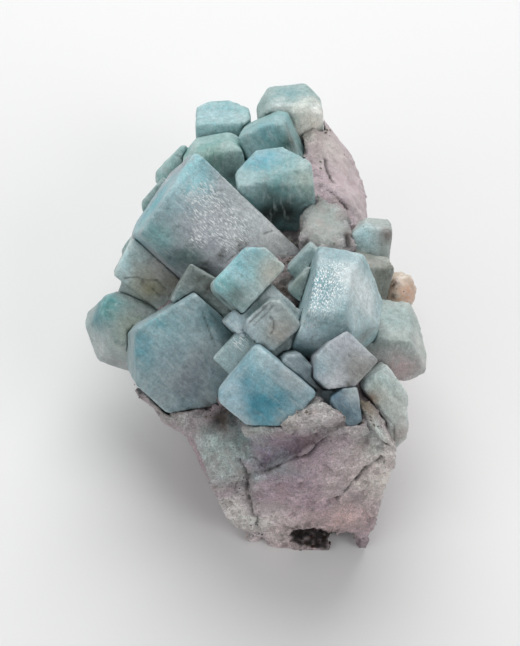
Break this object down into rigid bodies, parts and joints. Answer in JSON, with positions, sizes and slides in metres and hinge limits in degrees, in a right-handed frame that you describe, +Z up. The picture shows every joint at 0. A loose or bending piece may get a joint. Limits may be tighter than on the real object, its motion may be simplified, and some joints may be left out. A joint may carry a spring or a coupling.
{
  "type": "amazonite crystal cluster",
  "caption": "Cluster of blocky blue-green amazonite crystals on a lump of pink feldspar rock, trimmed flat underneath.",
  "frame": {"origin": "middle of the flat base that the specimen rests on, below the middle of the crystal-bearing face", "axes": "+X to the right in the picture, +Y away from the viewer along the specimen's length, +Z up"},
  "size_m": [0.0558, 0.0797, 0.0436],
  "materials": {
    "amazonite": "satin",
    "matrix": "matte",
    "quartz": "gloss"
  },
  "bodies": {
    "root": {"crystal_front": "amazonite", "crystal_centre": "amazonite", "crystal_bright": "amazonite", "crystal_left_front": "amazonite", "crystal_left_outer": "amazonite", "crystal_large": "amazonite", "crystal_upper_right": "amazonite", "crystal_front_right": "amazonite", "crystal_front_slab": "amazonite", "crystal_front_wedge": "amazonite", "crystal_front_small": "amazonite", "crystals_centre_slabs": "amazonite", "crystals_inner_slabs": "amazonite", "crystal_left_gap": "amazonite", "crystals_left_back": "amazonite", "crystal_right": "amazonite", "crystals_right_low": "amazonite", "crystal_back_right": "amazonite", "crystal_right_back": "amazonite", "crystal_top_centre": "amazonite", "crystal_top_right": "amazonite", "crystal_top_left": "amazonite", "crystal_top_side": "amazonite", "crystal_back_left_top": "amazonite", "crystal_back_left_mid": "amazonite", "crystal_back_left_low": "amazonite", "quartz_grain": "quartz", "matrix": "matrix"}
  },
  "joints": []
}
